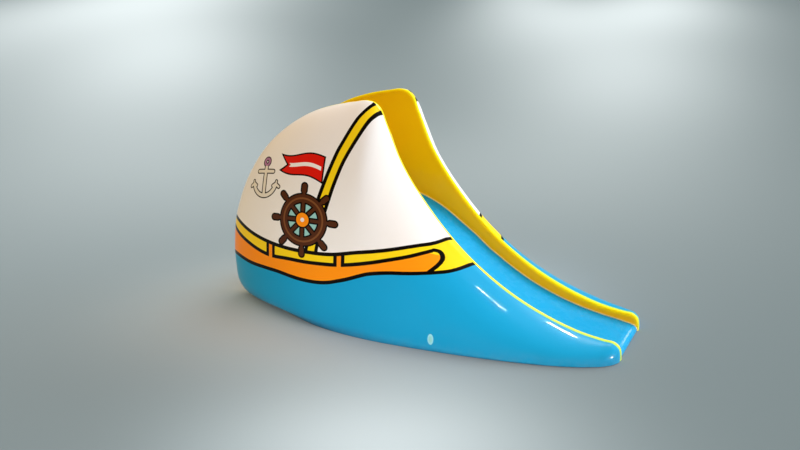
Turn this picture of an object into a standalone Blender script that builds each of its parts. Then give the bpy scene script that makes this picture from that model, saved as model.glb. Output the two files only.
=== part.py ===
"""Moulded fibreglass slide for small children: two bulging side shells, a chute between them and steps behind.

The exit points along +X, the part is symmetric about the XZ plane, and it stands on z = 0.
A distance called "back" is measured from the exit's nose towards the steps.
"""
import math

import bmesh
import bpy
from mathutils import Vector

# Driving dimensions, in metres
RIM_OUTER = 0.280            # from the centre plane to the outer edge of the yellow rim
CHANNEL_HALF = 0.238         # from the centre plane to the inner face of a side wall
SKIN = 0.006                 # fibreglass skin
WALL_THICKNESS = 0.006
SHEET = 0.008                # chute bed, lip and risers
DECK = 0.012                 # platform and treads
JOINT_GAP = 0.0003           # between two pieces that touch
PLATFORM_HEIGHT = 0.800
RISERS = 4
FIRST_RISER_BACK = 2.700     # face of the lowest riser
TREAD_GOING = 0.185
CREST_BACK = 1.800           # where the platform turns into the chute
RIM_CROWN = 0.0035           # the rim's crown stands this far outside the side profile
RIM_DEPTH = 0.026

# Side profile of the rim as (back, height), from the nose over the peak to the rear foot
RIM_PROFILE = (
    (0.000, 0.000), (0.002, 0.042), (0.013, 0.082), (0.045, 0.108), (0.110, 0.116),
    (0.263, 0.140), (0.400, 0.179), (0.734, 0.325), (1.008, 0.510), (1.316, 0.820),
    (1.529, 1.123), (1.638, 1.372), (1.686, 1.474), (1.722, 1.503), (1.764, 1.512),
    (1.870, 1.497), (2.030, 1.461), (2.195, 1.403), (2.386, 1.288), (2.514, 1.176),
    (2.663, 0.980), (2.764, 0.784), (2.842, 0.560), (2.855, 0.400), (2.849, 0.250),
    (2.825, 0.100), (2.782, 0.030), (2.725, 0.000))
PEAK_KNOT = 14
REAR_KNOT = 22               # the knot that lies farthest back
STEEP = 0.3                  # rise of a line for each unit of its length, above which it is cut level
RIM_STEPS = 3                # facets between two knots of the profile

# Top surface of the chute as (back, height), from the platform down to the lip
CHUTE_PROFILE = (
    (1.800, 0.800), (1.680, 0.786), (1.580, 0.760), (1.480, 0.719), (1.386, 0.665),
    (1.285, 0.594), (1.179, 0.518), (1.086, 0.442), (0.977, 0.367), (0.865, 0.297),
    (0.739, 0.229), (0.582, 0.164), (0.395, 0.106), (0.240, 0.074), (0.090, 0.050))
LIP_PROFILE = ((0.090, 0.050), (0.050, 0.045), (0.022, 0.035), (0.009, 0.018), (0.006, 0.000))

# A side shell's bulge beyond the rim is the bulge of its plan times the fullness of its section
PLAN_CURVES = (              # two Bezier curves of (back, bulge), nose to widest point to rear
    ((0.000, 0.000), (0.000, 0.236), (0.760, 0.400), (1.946, 0.400)),
    ((1.946, 0.400), (2.380, 0.400), (2.855, 0.172), (2.855, 0.000)))
SECTION_POWER = 2.7
SHOULDER_BACKS = (0.00, 0.42, 1.12, 1.764, 2.10, 2.46, 2.855)
SHOULDER_POWERS = (0.52, 0.76, 0.77, 0.74, 0.543, 0.498, 0.44)   # lower is fuller
FOOT_START = 1.40            # behind this place the foot is drawn in
FOOT_PINCH = 0.92
SHELL_COLUMNS = 24           # facets along a level outline
NOSE_LEVELS = (0.0, 0.008, 0.030, 0.060, 0.085, 0.102, 0.113)
LEVEL_STEP = 0.09
CROWN_STEP = 0.063           # over the peak the outlines lie closer
RIDGE_KNOT = 17              # knot of the rim where that begins
LEAST_STEP = 0.015           # least height between two outlines

BED_STIFFENERS = (0.60, 0.98, 1.33)      # places of the cross stiffeners under the chute
STIFFENER_THICKNESS = 0.020
STIFFENER_DEPTH = 0.070
STIFFENER_GAP = 0.0009       # room under the bed's hollow between a stiffener's edges
BEARER_INSET = (0.03, 0.07)  # of the platform's bearers from its front and rear edges
RIB_PLACES = (0.85, 1.50, 2.20)          # ribs between each side wall and its shell
RIB_THICKNESS = 0.012
RIB_CLEARANCE = 0.015
FLANGE_WIDTH = 0.055
FLANGE_THICKNESS = NOSE_LEVELS[1]
FLANGE_FRONT = 0.45
FLANGE_REAR = 2.40

LENGTH = max(back for back, height in RIM_PROFILE) + 2 * RIM_CROWN
RISE = PLATFORM_HEIGHT / RISERS

COLOURS = {
    "outer_gelcoat": ((0.03, 0.42, 0.72), 0.15, 0.0),
    "yellow_gelcoat": ((0.95, 0.72, 0.02), 0.18, 0.0),
    "blue_gelcoat": ((0.02, 0.36, 0.70), 0.15, 0.0),
    "raw_laminate": ((0.62, 0.60, 0.50), 0.60, 0.0)}


def clear_scene():
    for item in list(bpy.data.objects):
        bpy.data.objects.remove(item, do_unlink=True)


def material(name):
    """The piece's own material."""
    colour, roughness, metallic = COLOURS[name]
    made = bpy.data.materials.new(name)
    made.use_nodes = True
    shader = made.node_tree.nodes["Principled BSDF"]
    shader.inputs["Base Color"].default_value = (*colour, 1.0)
    shader.inputs["Roughness"].default_value = roughness
    shader.inputs["Metallic"].default_value = metallic
    return made


def x_at(back):
    """X of a place measured back from the nose; the origin is half way along."""
    return LENGTH / 2 - RIM_CROWN - back


def slopes(places, values):
    """Slopes of a smooth curve through the values, level at the ends of a flat or turning stretch."""
    steps = [(values[i + 1] - values[i]) / (places[i + 1] - places[i]) for i in range(len(places) - 1)]
    inner = []
    for i in range(1, len(places) - 1):
        left = places[i] - places[i - 1]
        right = places[i + 1] - places[i]
        inner.append((steps[i - 1] * right + steps[i] * left) / (left + right))
    return [steps[0]] + inner + [steps[-1]]


def smooth_value(places, values, at):
    """Value at a place on the smooth curve through the values (cubic Hermite)."""
    at = min(max(at, places[0]), places[-1])
    i = max(k for k in range(len(places) - 1) if places[k] <= at)
    width = places[i + 1] - places[i]
    t = (at - places[i]) / width
    m = slopes(places, values)
    rise = values[i] * (2 * t ** 3 - 3 * t ** 2 + 1) + values[i + 1] * (3 * t ** 2 - 2 * t ** 3)
    lean = m[i] * (t ** 3 - 2 * t ** 2 + t) + m[i + 1] * (t ** 3 - t ** 2)
    return rise + width * lean


def smooth_line(knots, steps):
    """Points along a smooth line through (back, height) knots, with the same steps in each stretch."""
    along = [0.0]
    for a, b in zip(knots, knots[1:]):
        along.append(along[-1] + math.dist(a, b))
    backs = [knot[0] for knot in knots]
    heights = [knot[1] for knot in knots]
    points = []
    for i in range(len(knots) - 1):
        for k in range(steps):
            at = along[i] + (along[i + 1] - along[i]) * k / steps
            points.append((smooth_value(along, backs, at), smooth_value(along, heights, at)))
    points.append(tuple(knots[-1]))
    return points


def outward(points):
    """Unit normals of a line in the side view that point up and away from the part, end to end."""
    normals = []
    for i in range(len(points)):
        a = points[max(i - 1, 0)]
        b = points[min(i + 1, len(points) - 1)]
        along = Vector((b[0] - a[0], b[1] - a[1])).normalized()
        normals.append(Vector((-along.y, along.x)))
    return normals


def offset_line(points, depth):
    """The line moved inwards; its ends are slid along the line so that they stay on their level."""
    normals = outward(points)
    moved = [Vector(p) - n * depth for p, n in zip(points, normals)]
    for end, neighbour in ((0, 1), (-1, -2)):
        level = points[end][1]
        run = moved[end] - moved[neighbour]
        if abs(run.y) > STEEP * run.length:
            moved[end] = moved[end] + run * (level - moved[end].y) / run.y
    return [(p.x, p.y) for p in moved]


def read_line(points, value, given=1, wanted=0):
    """The wanted coordinate where a line that rises or falls steadily in the given one reaches a value."""
    for a, b in zip(points, points[1:]):
        low, high = sorted((a[given], b[given]))
        if low <= value <= high and high > low:
            share = (value - a[given]) / (b[given] - a[given])
            return a[wanted] + (b[wanted] - a[wanted]) * share
    ends = (points[0], points[-1])
    return min(ends, key=lambda p: abs(p[given] - value))[wanted]


def bezier(a, b, c, d, t):
    s = 1 - t
    return a * s ** 3 + b * 3 * s * s * t + c * 3 * s * t * t + d * t ** 3


def plan_line():
    """(back, bulge) points of a shell's plan at the height where it reaches farthest."""
    steps = 80
    points = []
    for curve in PLAN_CURVES:
        for k in range(steps):
            points.append(tuple(bezier(*(p[i] for p in curve), k / steps) for i in (0, 1)))
    return points + [PLAN_CURVES[-1][-1]]


PLAN = plan_line()


def level_outline(height, front, rear, inset):
    """(back, bulge) points of a shell's face at one level, from the front rim to the rear rim."""
    rearmost, rear_height = rear[(REAR_KNOT - PEAK_KNOT) * RIM_STEPS]
    above = [p for p in rear if p[1] >= rear_height]
    front_back = read_line(front, height)
    end = read_line(above, height)
    tuck = end - read_line(rear, height) if height < rear_height else 0.0
    full_tuck = rearmost - rear[-1][0]
    points = []
    for k in range(SHELL_COLUMNS + 1):
        share = 0.5 - 0.5 * math.cos(math.pi * k / SHELL_COLUMNS)
        back = front_back + (end - front_back) * share
        line = front if back < front[-1][0] else above
        top = read_line(line, back, given=0, wanted=1)
        rise = min(1.0, height / max(top, height, JOINT_GAP))
        fullness = (1 - rise ** SECTION_POWER) ** smooth_value(SHOULDER_BACKS, SHOULDER_POWERS, back)
        drawn = max(0.0, (back - FOOT_START) / (rearmost - FOOT_START)) ** 2
        bulge = (read_line(PLAN, back, given=0, wanted=1) - inset) * fullness
        bulge *= 1 - FOOT_PINCH * drawn * tuck / full_tuck
        points.append((back - tuck * drawn, max(bulge, 0.0) if 0 < k < SHELL_COLUMNS else 0.0))
    return points


def walk(points, start_height, end_height, step):
    """Heights met at equal steps along a line between two heights."""
    part = [p for p in points if min(start_height, end_height) <= p[1] <= max(start_height, end_height)]
    heights = []
    travelled = 0.0
    for a, b in zip(part, part[1:]):
        travelled += math.dist(a, b)
        if travelled >= step:
            heights.append(b[1])
            travelled = 0.0
    return heights


def shell_levels(front, rear):
    """Heights of the outlines: close at the nose, then even along the rim up to the peak."""
    peak = RIM_PROFILE[PEAK_KNOT][1]
    ridge = RIM_PROFILE[RIDGE_KNOT][1]
    climb = walk(front, NOSE_LEVELS[-1] + LEAST_STEP, ridge - LEAST_STEP, LEVEL_STEP)
    crown = walk(rear, ridge, peak - 2 * SKIN, CROWN_STEP)
    return sorted([*NOSE_LEVELS, *climb, ridge, *crown, peak - 2 * SKIN, peak])


def shell_surface(side, inset):
    """Grid of points [level][column] of a side shell's face, set into the shell by the inset."""
    line = smooth_line(RIM_PROFILE, RIM_STEPS)
    top = PEAK_KNOT * RIM_STEPS
    levels = shell_levels(line[:top + 1], line[top:])
    if inset:
        line = offset_line(line, inset)
    front, rear = line[:top + 1], line[top:]
    grid = []
    for height in levels:
        height = min(height, line[top][1])
        grid.append([Vector((x_at(back), side * (RIM_OUTER + JOINT_GAP + bulge), height))
                     for back, bulge in level_outline(height, front, rear, inset)])
    return grid


def finish(bm, name, material_name, smooth=True):
    """Closes a mesh and makes the named object of it."""
    bmesh.ops.remove_doubles(bm, verts=bm.verts, dist=0.00002)
    bmesh.ops.dissolve_degenerate(bm, edges=bm.edges, dist=0.00001)
    bmesh.ops.recalc_face_normals(bm, faces=bm.faces)
    mesh = bpy.data.meshes.new(name)
    bm.to_mesh(mesh)
    bm.free()
    if smooth:
        mesh.shade_smooth()
        mesh.set_sharp_from_angle(angle=math.radians(35))
    made = bpy.data.objects.new(name, mesh)
    made.data.materials.append(material(material_name))
    bpy.context.collection.objects.link(made)
    return made


def loft(name, material_name, rings, strip_ends=False):
    """A closed body through rings of points; its ends are one face, or a strip of faces each."""
    bm = bmesh.new()
    made = [[bm.verts.new(point) for point in ring] for ring in rings]
    count = len(rings[0])
    for a, b in zip(made, made[1:]):
        for k in range(count):
            bm.faces.new((a[k], a[(k + 1) % count], b[(k + 1) % count], b[k]))
    for ring in (made[0], made[-1]):
        if strip_ends:
            for k in range(count // 2 - 1):
                bm.faces.new((ring[k], ring[k + 1], ring[count - 2 - k], ring[count - 1 - k]))
        else:
            bm.faces.new(ring)
    return finish(bm, name, material_name)


def plate(name, material_name, outline, y_from, y_to):
    """A flat plate parallel to the XZ plane with a (back, height) outline."""
    rings = [[(x_at(back), y, height) for back, height in outline] for y in (y_from, y_to)]
    return loft(name, material_name, rings)


def block(name, material_name, back_from, back_to, low, high, half_width):
    """A board between the side walls."""
    outline = ((back_from, low), (back_to, low), (back_to, high), (back_from, high))
    return plate(name, material_name, outline, -half_width, half_width)


def make_shell(label, side):
    outer = shell_surface(side, 0.0)
    inner = shell_surface(side, SKIN)
    rings = []
    for j in range(SHELL_COLUMNS + 1):
        ring = [row[j] for row in outer] + [row[j] for row in reversed(inner)]
        rings.append(ring)
    return loft(f"{label}_side_shell", "outer_gelcoat", rings, strip_ends=True)


def rim_section():
    """(distance from the centre plane, height above the side profile) of the rolled rim."""
    width = RIM_OUTER - CHANNEL_HALF
    points = [(RIM_OUTER, -RIM_DEPTH), (RIM_OUTER, 0.0), (RIM_OUTER - 0.2 * width, 0.85 * RIM_CROWN),
              (RIM_OUTER - 0.42 * width, RIM_CROWN)]
    arc = 5
    for k in range(1, arc + 1):
        turn = math.radians(90 * k / arc)
        points.append((CHANNEL_HALF + 0.58 * width * (1 - math.sin(turn)),
                       RIM_CROWN - (RIM_DEPTH + RIM_CROWN) * (1 - math.cos(turn))))
    return points


def make_rim(label, side):
    line = smooth_line(RIM_PROFILE, RIM_STEPS)
    section = rim_section()
    offsets = [offset_line(line, -height) for y, height in section]
    rings = []
    for i in range(len(line)):
        rings.append([(x_at(offsets[k][i][0]), side * section[k][0], offsets[k][i][1])
                      for k in range(len(section))])
    return loft(f"{label}_rim", "yellow_gelcoat", rings)


def make_inner_wall(label, side):
    line = offset_line(smooth_line(RIM_PROFILE, RIM_STEPS), RIM_DEPTH + JOINT_GAP)
    return plate(f"{label}_inner_wall", "yellow_gelcoat", line,
                 side * CHANNEL_HALF, side * (CHANNEL_HALF + WALL_THICKNESS))


def make_chute():
    """The bed, and the lip that rounds down to the ground at its end."""
    half = CHANNEL_HALF - JOINT_GAP
    top = smooth_line(CHUTE_PROFILE, 2)
    lower = [(Vector(p) + n * SHEET)[:] for p, n in zip(top, outward(top))]
    lower[0] = (CREST_BACK, lower[0][1])
    plate("chute_bed", "blue_gelcoat", top + lower[::-1], -half, half)
    lip = smooth_line(LIP_PROFILE, 3)
    lip[0] = (lip[0][0] - JOINT_GAP, lip[0][1])
    under = [(Vector(p) + n * SHEET)[:] for p, n in zip(lip, outward(lip))]
    under[-1] = (under[-1][0], 0.0)
    under[0] = (lip[0][0], under[0][1])
    plate("exit_lip", "blue_gelcoat", lip + under[::-1], -half, half)
    return top


def make_steps():
    """Platform, treads and risers, each a board between the side walls."""
    half = CHANNEL_HALF - JOINT_GAP
    for number in range(1, RISERS):
        front = FIRST_RISER_BACK - TREAD_GOING * number
        block(f"step_tread_{number}", "blue_gelcoat", front - SHEET, front + TREAD_GOING,
              RISE * number - DECK, RISE * number, half)
    platform_rear = FIRST_RISER_BACK - TREAD_GOING * (RISERS - 1)
    block("platform_deck", "blue_gelcoat", CREST_BACK + JOINT_GAP, platform_rear,
          PLATFORM_HEIGHT - DECK, PLATFORM_HEIGHT, half)
    for number in range(1, RISERS + 1):
        face = FIRST_RISER_BACK - TREAD_GOING * (number - 1)
        foot = 0.0 if number == 1 else RISE * (number - 1) + JOINT_GAP
        block(f"step_riser_{number}", "yellow_gelcoat", face - SHEET, face,
              foot, RISE * number - DECK - JOINT_GAP, half)


def make_stiffeners(top):
    """Cross boards under the bed, square to it, and two under the platform."""
    half = CHANNEL_HALF - JOINT_GAP
    for number, place in enumerate(BED_STIFFENERS, 1):
        i = min(range(len(top) - 1), key=lambda k: abs((top[k][0] + top[k + 1][0]) / 2 - place))
        middle = (Vector(top[i]) + Vector(top[i + 1])) / 2
        along = (Vector(top[i + 1]) - Vector(top[i])).normalized()
        down = Vector((-along.y, along.x))
        head = middle + down * (SHEET + STIFFENER_GAP)
        side = along * STIFFENER_THICKNESS / 2
        foot = down * STIFFENER_DEPTH
        outline = [(head - side)[:], (head + side)[:], (head + side + foot)[:], (head - side + foot)[:]]
        plate(f"bed_stiffener_{number}", "raw_laminate", outline, -half, half)
    high = PLATFORM_HEIGHT - DECK - JOINT_GAP
    platform_rear = FIRST_RISER_BACK - TREAD_GOING * (RISERS - 1)
    bearers = (("front", CREST_BACK + BEARER_INSET[0]), ("rear", platform_rear - BEARER_INSET[1]))
    for label, back in bearers:
        block(f"platform_bearer_{label}", "raw_laminate", back, back + STIFFENER_THICKNESS,
              high - STIFFENER_DEPTH, high, half)


def shell_reach(rows, x):
    """(distance from the centre plane, height) of a shell's inner face in the plane of an X place."""
    reach = []
    for row in rows:
        for a, b in zip(row, row[1:]):
            if min(a.x, b.x) <= x <= max(a.x, b.x) and a.x != b.x:
                share = (x - a.x) / (b.x - a.x)
                point = a.lerp(b, share)
                reach.append((abs(point.y), point.z))
                break
    return reach


def make_ribs(label, side):
    inner = shell_surface(side, SKIN + RIB_CLEARANCE)
    under_rim = offset_line(smooth_line(RIM_PROFILE, RIM_STEPS), RIM_DEPTH + RIB_CLEARANCE)
    top = PEAK_KNOT * RIM_STEPS
    root = CHANNEL_HALF + WALL_THICKNESS + JOINT_GAP
    for place, back in zip(("front", "middle", "rear"), RIB_PLACES):
        x = x_at(back)
        line = under_rim[:top + 1] if back < RIM_PROFILE[PEAK_KNOT][0] else under_rim[top:]
        ceiling = read_line(line, back, given=0, wanted=1)
        faces = [shell_reach(inner, x + step * RIB_THICKNESS / 2) for step in (-1, 1)]
        edge = [min(a, b) for a, b in zip(*faces)]
        foot = FLANGE_THICKNESS + JOINT_GAP
        foot_reach = read_line(edge, foot)
        edge = [(y, z) for y, z in edge if foot < z < ceiling]
        outline = [(root, foot), (foot_reach, foot), *edge, (root, edge[-1][1])]
        rings = [[(x + step * RIB_THICKNESS / 2, side * y, z) for y, z in outline] for step in (-1, 1)]
        loft(f"{label}_rib_{place}", "raw_laminate", rings)


def make_base_flange(label, side):
    """The flat foot moulded inwards along the shell's lower edge."""
    base, above = shell_surface(side, SKIN + JOINT_GAP)[:2]
    low_x, high_x = x_at(FLANGE_REAR), x_at(FLANGE_FRONT)
    picked = [j for j, p in enumerate(base) if low_x <= p.x <= high_x]
    rings = []
    for j in picked:
        lower, upper = base[j], above[j]
        run = base[j + 1] - base[j - 1]
        inwards = Vector((run.y, -run.x, 0)).normalized()
        if inwards.y * side > 0:
            inwards.negate()
        far = lower + inwards * FLANGE_WIDTH
        rings.append([lower, far, far + Vector((0, 0, FLANGE_THICKNESS)), upper])
    loft(f"{label}_base_flange", "raw_laminate", rings)


def build():
    clear_scene()
    for label, side in (("left", 1), ("right", -1)):
        make_shell(label, side)
        make_rim(label, side)
        make_inner_wall(label, side)
        make_ribs(label, side)
        make_base_flange(label, side)
    top = make_chute()
    make_steps()
    make_stiffeners(top)


build()
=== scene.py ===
import math

import bmesh
import bpy
import numpy as np
from mathutils import Matrix, Vector


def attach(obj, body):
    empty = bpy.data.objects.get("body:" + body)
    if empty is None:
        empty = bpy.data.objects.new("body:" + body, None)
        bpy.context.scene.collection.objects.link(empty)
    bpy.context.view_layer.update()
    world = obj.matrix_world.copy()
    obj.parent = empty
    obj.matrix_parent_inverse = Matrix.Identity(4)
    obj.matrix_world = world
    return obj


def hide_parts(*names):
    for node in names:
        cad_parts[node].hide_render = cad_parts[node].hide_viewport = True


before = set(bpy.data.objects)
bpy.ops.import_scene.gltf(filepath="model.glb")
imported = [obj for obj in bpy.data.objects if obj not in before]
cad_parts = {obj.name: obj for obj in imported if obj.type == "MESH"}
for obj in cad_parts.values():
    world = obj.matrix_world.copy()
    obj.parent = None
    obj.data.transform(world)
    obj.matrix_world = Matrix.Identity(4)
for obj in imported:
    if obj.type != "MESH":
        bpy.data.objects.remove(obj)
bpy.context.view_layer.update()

# Sizes of the moulding, in metres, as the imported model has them; "back" is measured from the exit's nose
NOSE_X = 1.4275
RIM_OUTER = 0.280
CHANNEL_HALF = 0.238
SHEET = 0.008
SKIN = 0.006
DECK = 0.012
JOINT_GAP = 0.0003
RIM_CROWN = 0.0027
RIM_DEPTH = 0.026
RIM_TURN = 0.018             # rounding from the rim's crown down into the chute's wall
RIM_TURN_DROP = 1.2          # its height over its width
ROLL_REACH = 0.003           # the rim's rolled edge laps over the shell by this much
PLATFORM_HEIGHT = 0.800
CREST_BACK = 1.800
RISERS = 4
STIFFENERS = 3
RISE = PLATFORM_HEIGHT / RISERS
FIRST_RISER_BACK = 2.700
TREAD_GOING = 0.185
GRIP_START = 0.020           # the first grip rib behind a nosing
GRIP_SPACING = 0.018
GRIP_RISE = 0.0016
# Across a grip rib: distance from its middle, share of its rise
GRIP_RIB = ((0.0040, 0.0), (0.0026, 0.85), (0.0, 1.0), (-0.0026, 0.85), (-0.0040, 0.0))
GRIP_END = 0.030             # the ribs run out this far from either wall
GRIP_RUNOUT = 0.008
# Cove where a tread meets its riser: distance from the riser, height above the tread
COVE = ((0.0100, 0.0), (0.0055, 0.0010), (0.0026, 0.0030), (0.0008, 0.0068), (0.0004, 0.0100), (0.0004, 0.0))
END_CURL = 0.0065            # treads and platform curl up by this much at either wall
END_CURL_REACH = 0.011
END_PLACES = (0.0, 0.0012, 0.0032, 0.0065, END_CURL_REACH, GRIP_END, GRIP_END + GRIP_RUNOUT)
BED_CURL = 0.007
BEAD_RADIUS = 0.0055         # sealant beside the bed
BEAD_FLATNESS = 0.9

RIM_PROFILE = (
    (0.000, 0.000), (0.002, 0.042), (0.013, 0.082), (0.045, 0.108), (0.110, 0.116),
    (0.263, 0.140), (0.400, 0.179), (0.734, 0.325), (1.008, 0.510), (1.316, 0.820),
    (1.529, 1.123), (1.638, 1.372), (1.686, 1.474), (1.722, 1.503), (1.764, 1.512),
    (1.870, 1.497), (2.030, 1.461), (2.195, 1.403), (2.386, 1.288), (2.514, 1.176),
    (2.663, 0.980), (2.764, 0.784), (2.842, 0.560), (2.855, 0.400), (2.849, 0.250),
    (2.825, 0.100), (2.782, 0.030), (2.725, 0.000))
PEAK_KNOT = 14
REAR_KNOT = 23
CHUTE_PROFILE = (
    (1.800, 0.800), (1.680, 0.786), (1.580, 0.760), (1.480, 0.719), (1.386, 0.665),
    (1.285, 0.594), (1.179, 0.518), (1.086, 0.442), (0.977, 0.367), (0.865, 0.297),
    (0.739, 0.229), (0.582, 0.164), (0.395, 0.106), (0.240, 0.074), (0.090, 0.050))
LIP_PROFILE = ((0.090, 0.050), (0.050, 0.045), (0.022, 0.035), (0.009, 0.018), (0.006, 0.003))

# The law of a side shell: bulge of its plan times fullness of its section
PLAN_CURVES = (
    ((0.000, 0.000), (0.000, 0.236), (0.760, 0.400), (1.946, 0.400)),
    ((1.946, 0.400), (2.380, 0.400), (2.855, 0.172), (2.855, 0.000)))
SECTION_POWER = 2.7
SHOULDER_BACKS = (0.00, 0.42, 1.12, 1.764, 2.10, 2.46, 2.855)
SHOULDER_POWERS = (0.52, 0.76, 0.77, 0.74, 0.543, 0.498, 0.44)
FULL_SHOULDER = 0.006        # extra fullness beside the rim, at its most this far out
FULL_SHOULDER_REACH = 0.035
FULL_SHOULDER_BACKS = (0.70, 1.15, 1.55, 1.70)   # it fades in and out between these
FOOT_CLEAR = 0.0013          # the skins' lower edges end just above the floor
FOOT_START = 1.40
FOOT_PINCH = 0.92

SHELL_COLUMNS = 170
SHELL_ROWS = 84
FINE_WELD = 0.00001

# Painted lines as (back, up); "up" runs over the shell nearly as a tape measure would
MAST_BACK_LINE = (
    (1.712, 1.699), (1.742, 1.642), (1.770, 1.589), (1.807, 1.489), (1.838, 1.394), (1.869, 1.302),
    (1.894, 1.208), (1.918, 1.118), (1.941, 1.030), (1.965, 0.940), (2.000, 0.800), (2.040, 0.560))
MAST_FRONT_LINE = (
    (1.638, 1.700), (1.665, 1.646), (1.706, 1.554), (1.722, 1.504), (1.755, 1.404), (1.787, 1.315),
    (1.820, 1.219), (1.845, 1.127), (1.868, 1.037), (1.890, 0.940), (1.923, 0.800), (1.964, 0.560))
SAIL_LINE = (
    (2.860, 0.815), (2.783, 0.770), (2.551, 0.651), (2.270, 0.574), (2.039, 0.556), (1.836, 0.568),
    (1.686, 0.603), (1.552, 0.638), (1.437, 0.678), (1.322, 0.731), (1.220, 0.789), (1.169, 0.843),
    (1.100, 0.915))
RAIL_LINE = (
    (2.860, 0.749), (2.827, 0.720), (2.574, 0.569), (2.375, 0.501), (2.180, 0.489), (2.045, 0.484),
    (1.927, 0.488), (1.811, 0.498), (1.603, 0.544), (1.456, 0.597), (1.328, 0.654), (1.213, 0.730),
    (1.150, 0.778))
HULL_LINE = (
    (2.860, 0.520), (2.789, 0.498), (2.551, 0.424), (2.408, 0.402), (2.270, 0.384), (2.152, 0.363),
    (2.039, 0.352), (1.891, 0.360), (1.761, 0.400), (1.692, 0.425), (1.616, 0.461), (1.552, 0.481),
    (1.488, 0.497), (1.283, 0.537), (1.131, 0.587), (1.038, 0.645), (1.001, 0.697), (0.950, 0.774))
HULL_END = (
    (1.207, 0.561), (1.168, 0.622), (1.152, 0.678), (1.162, 0.711), (1.184, 0.732), (1.213, 0.732))
POST_BACKS = (2.350, 1.790)
POST_HALF = 0.015
LINE_HALF = 0.0131
MAST_LINE_HALF = 0.0126
HULL_END_HALF = 0.0134
HULL_LOOP_OPEN = 0.006       # the orange ends this far before the middle of its black end line
RAIL_END_BACK = 1.213
SIDE_SLANT = 0.5             # how "up" is counted on the bulging side: height less this share of the width
SIDE_LIFT = 0.34
WHEEL_PLACE = (2.075, 0.780)
WHEEL_SCALE = 1.08
PENNANT_PLACE = (1.955, 1.155)
ANCHOR_PLACE = (2.440, 1.050)
PALE_OVAL_PLACE = (1.139, 0.098)  # pale oval low on the side, lighter towards its edge
PALE_OVAL_HALF = (0.0195, 0.037)
LENGTH_REACH = 3.0           # full scale of "back" in the curve nodes
HEIGHT_REACH = 2.0
CURVE_POINTS = 28

# Colours as they read on the finished part, linear
WHITE = (0.87, 0.875, 0.895)
BLACK = (0.004, 0.003, 0.002)
MAST_YELLOW = (0.93, 0.68, 0.010)
RIM_YELLOW = (0.93, 0.83, 0.004)
RIM_LIME = (0.42, 0.72, 0.10)   # thin yellow over blue, along the rim's outer edge low down
WALL_GOLD = (0.86, 0.54, 0.004)
# Painted light: the walls' gold turns lighter and redder between these heights, standing in for light the
# lamps don't bring low in the chute
LOW_GOLD_PAINTED_LIGHT = (1.00, 0.54, 0.006)
WALL_PAINTED_LIGHT_HEIGHTS = (0.95, 0.35)
ORANGE = (0.98, 0.30, 0.006)
SEA_BLUE = (0.009, 0.338, 0.655)
BED_BLUE = (0.004, 0.338, 0.695)
PALE_OVAL_MIDDLE = (0.29, 0.66, 0.69)
PALE_OVAL_EDGE = (0.30, 0.74, 0.88)
TEAL = (0.30, 0.60, 0.60)
WOOD = (0.085, 0.026, 0.010)
WOOD_INLAY = (0.20, 0.075, 0.025)
FLAG_RED = (0.72, 0.012, 0.006)
CREAM = (0.80, 0.77, 0.70)
MAUVE = (0.42, 0.20, 0.38)
DUST = (0.55, 0.53, 0.48)

# Where the rim's colours change, as steps round its section from the outside in
RIM_STEPS = 27
RIM_LIME_FADE = (12.5, 8.0)      # none, full
RIM_PAINT_EDGE = (5.5, 9.3)      # the side's paint laps this far, low down and high up
RIM_GOLD_START = 15.5
RIM_GOLD_FULL = (27.0, 22.5)     # low down and high up


def knot_slopes(places, values):
    gaps = np.diff(places)
    steps = np.diff(values) / gaps
    inner = (steps[:-1] * gaps[1:] + steps[1:] * gaps[:-1]) / (gaps[:-1] + gaps[1:])
    return np.concatenate(([steps[0]], inner, [steps[-1]]))


def smooth_values(places, values, at):
    """Values at places on the smooth curve through the knots."""
    places = np.asarray(places, float)
    values = np.asarray(values, float)
    at = np.clip(np.asarray(at, float), places[0], places[-1])
    i = np.clip(np.searchsorted(places, at, side="right") - 1, 0, len(places) - 2)
    width = places[i + 1] - places[i]
    t = (at - places[i]) / width
    slope = knot_slopes(places, values)
    rise = values[i] * (2 * t ** 3 - 3 * t ** 2 + 1) + values[i + 1] * (3 * t ** 2 - 2 * t ** 3)
    lean = slope[i] * (t ** 3 - 2 * t ** 2 + t) + slope[i + 1] * (t ** 3 - t ** 2)
    return rise + width * lean


def smooth_line(knots, steps):
    """(back, height) points along a smooth line through the knots."""
    knots = np.asarray(knots, float)
    along = np.concatenate(([0.0], np.cumsum(np.hypot(*np.diff(knots, axis=0).T))))
    at = np.interp(np.arange(steps * (len(knots) - 1) + 1) / steps, np.arange(len(knots)), along)
    return np.stack([smooth_values(along, knots[:, 0], at), smooth_values(along, knots[:, 1], at)], axis=1)


def line_normals(line):
    """Unit normals of a side-view line, pointing up and away from the part."""
    run = np.gradient(line, axis=0)
    run /= np.linalg.norm(run, axis=1)[:, None]
    return np.stack([-run[:, 1], run[:, 0]], axis=1)


def bezier(points, t):
    a, b, c, d = (np.asarray(p, float) for p in points)
    t = np.asarray(t)[:, None]
    return a * (1 - t) ** 3 + b * 3 * (1 - t) ** 2 * t + c * 3 * (1 - t) * t ** 2 + d * t ** 3


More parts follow.
